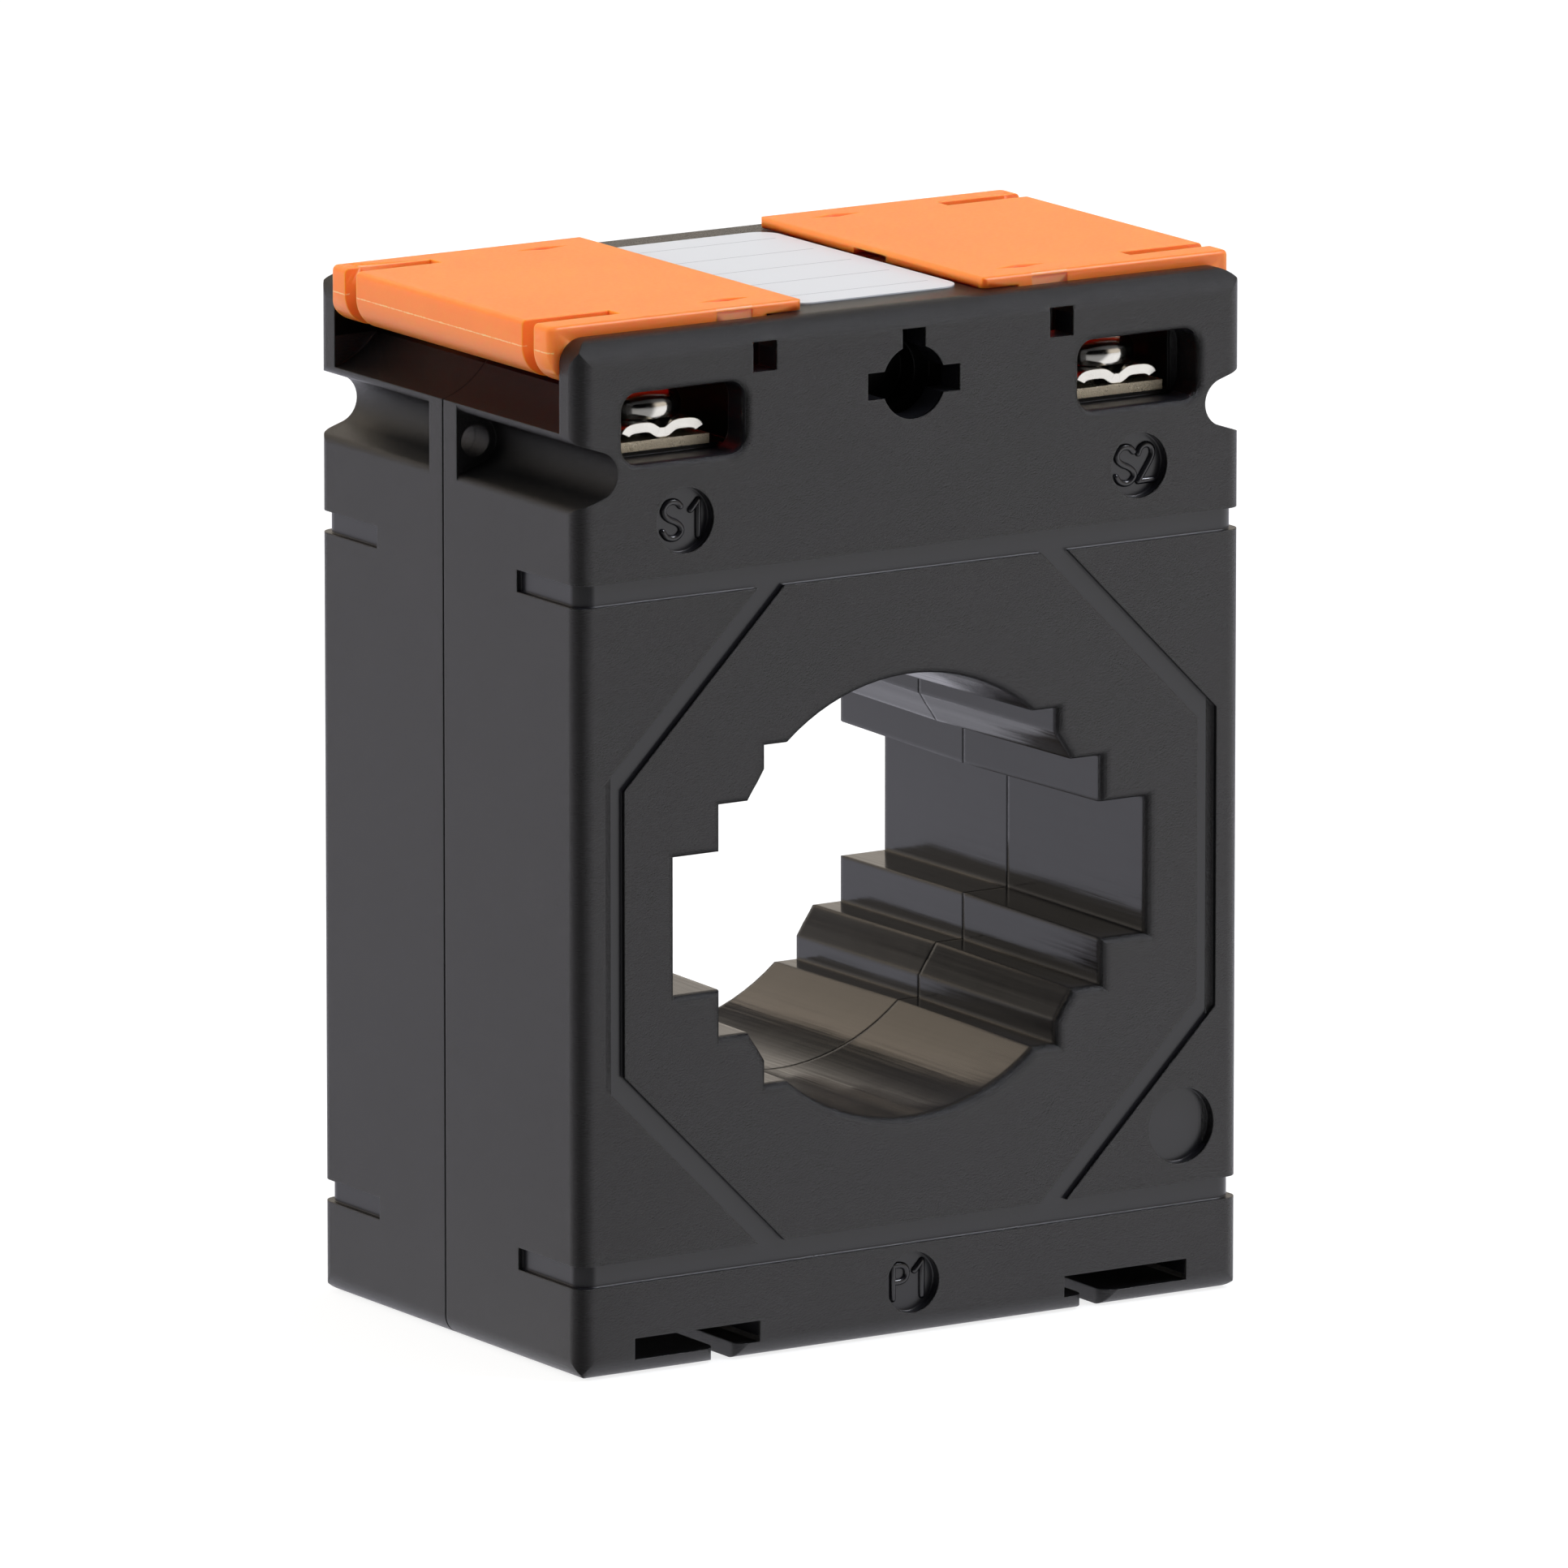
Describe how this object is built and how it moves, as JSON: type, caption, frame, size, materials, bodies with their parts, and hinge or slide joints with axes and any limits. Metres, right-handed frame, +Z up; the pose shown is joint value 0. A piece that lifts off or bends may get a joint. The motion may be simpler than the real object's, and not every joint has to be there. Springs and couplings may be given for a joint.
{
  "type": "current transformer",
  "caption": "Window-type current transformer: black two-shell housing, stepped window for a flat busbar or round cable, hinged orange covers over screw terminals.",
  "frame": {"origin": "middle of the base, halfway between the side faces and the front and rear faces", "axes": "+Z up, -Y out of the front face, +X to the right seen from the front"},
  "size_m": [0.0592, 0.0362, 0.0781],
  "materials": {
    "black_housing": "fine spark texture, matt",
    "orange_cover": "smooth moulded, satin",
    "white_label": "silvery white film, satin",
    "plated_bar": "nickel-plated, stamped",
    "plated_screw": "nickel-plated, bright",
    "plated_clamp": "nickel-plated, bright",
    "zinc_nut": "zinc-plated",
    "core_steel": "wound electrical steel strip, dark",
    "core_cap": "natural moulded nylon",
    "winding_copper": "enamelled copper wire, glossy",
    "winding_tape": "polyester film tape",
    "lead_sleeve": "soft sleeving, matt"
  },
  "bodies": {
    "housing": {"front_shell": "black_housing", "rear_shell": "black_housing", "rating_label": "white_label", "left_terminal_bar": "plated_bar", "right_terminal_bar": "plated_bar", "left_front_nut": "zinc_nut", "left_rear_nut": "zinc_nut", "right_front_nut": "zinc_nut", "right_rear_nut": "zinc_nut", "core_ring": "core_steel", "front_core_cap": "core_cap", "rear_core_cap": "core_cap", "secondary_winding": "winding_copper", "winding_tape": "winding_tape", "left_lead_sleeve": "lead_sleeve", "right_lead_sleeve": "lead_sleeve"},
    "left_cover": {"left_cover": "orange_cover"},
    "right_cover": {"right_cover": "orange_cover"},
    "left_front_clamp": {"left_front_clamp": "plated_clamp"},
    "left_front_screw": {"left_front_screw": "plated_screw"},
    "left_rear_clamp": {"left_rear_clamp": "plated_clamp"},
    "left_rear_screw": {"left_rear_screw": "plated_screw"},
    "right_front_clamp": {"right_front_clamp": "plated_clamp"},
    "right_front_screw": {"right_front_screw": "plated_screw"},
    "right_rear_clamp": {"right_rear_clamp": "plated_clamp"},
    "right_rear_screw": {"right_rear_screw": "plated_screw"}
  },
  "joints": [
    {"name": "left_cover_hinge", "type": "hinge", "parent": "housing", "child": "left_cover", "pos_m": [-0.02721, 0, 0.0754], "axis": [0, -1, 0], "range_deg": [0, 105]},
    {"name": "right_cover_hinge", "type": "hinge", "parent": "housing", "child": "right_cover", "pos_m": [0.02721, 0, 0.0754], "axis": [0, 1, 0], "range_deg": [0, 105]},
    {"name": "left_front_clamp_lift", "type": "slide", "parent": "housing", "child": "left_front_clamp", "axis": [0, 0, 1], "range_m": [0, 0.0021]},
    {"name": "left_front_screw_turn", "type": "hinge", "parent": "left_front_clamp", "child": "left_front_screw", "pos_m": [-0.01979, -0.01135, 0.07], "axis": [0, 0, 1], "range_deg": [0, 1080]},
    {"name": "left_rear_clamp_lift", "type": "slide", "parent": "housing", "child": "left_rear_clamp", "axis": [0, 0, 1], "range_m": [0, 0.0021]},
    {"name": "left_rear_screw_turn", "type": "hinge", "parent": "left_rear_clamp", "child": "left_rear_screw", "pos_m": [-0.01979, 0.01135, 0.07], "axis": [0, 0, 1], "range_deg": [0, 1080]},
    {"name": "right_front_clamp_lift", "type": "slide", "parent": "housing", "child": "right_front_clamp", "axis": [0, 0, 1], "range_m": [0, 0.0021]},
    {"name": "right_front_screw_turn", "type": "hinge", "parent": "right_front_clamp", "child": "right_front_screw", "pos_m": [0.01979, -0.01135, 0.07], "axis": [0, 0, 1], "range_deg": [0, 1080]},
    {"name": "right_rear_clamp_lift", "type": "slide", "parent": "housing", "child": "right_rear_clamp", "axis": [0, 0, 1], "range_m": [0, 0.0021]},
    {"name": "right_rear_screw_turn", "type": "hinge", "parent": "right_rear_clamp", "child": "right_rear_screw", "pos_m": [0.01979, 0.01135, 0.07], "axis": [0, 0, 1], "range_deg": [0, 1080]}
  ],
  "couplings": [
    {"joint": "left_front_screw_turn", "follows": "left_front_clamp_lift", "rad_per_m": 8976},
    {"joint": "left_rear_screw_turn", "follows": "left_rear_clamp_lift", "rad_per_m": 8976},
    {"joint": "right_front_screw_turn", "follows": "right_front_clamp_lift", "rad_per_m": 8976},
    {"joint": "right_rear_screw_turn", "follows": "right_rear_clamp_lift", "rad_per_m": 8976}
  ]
}
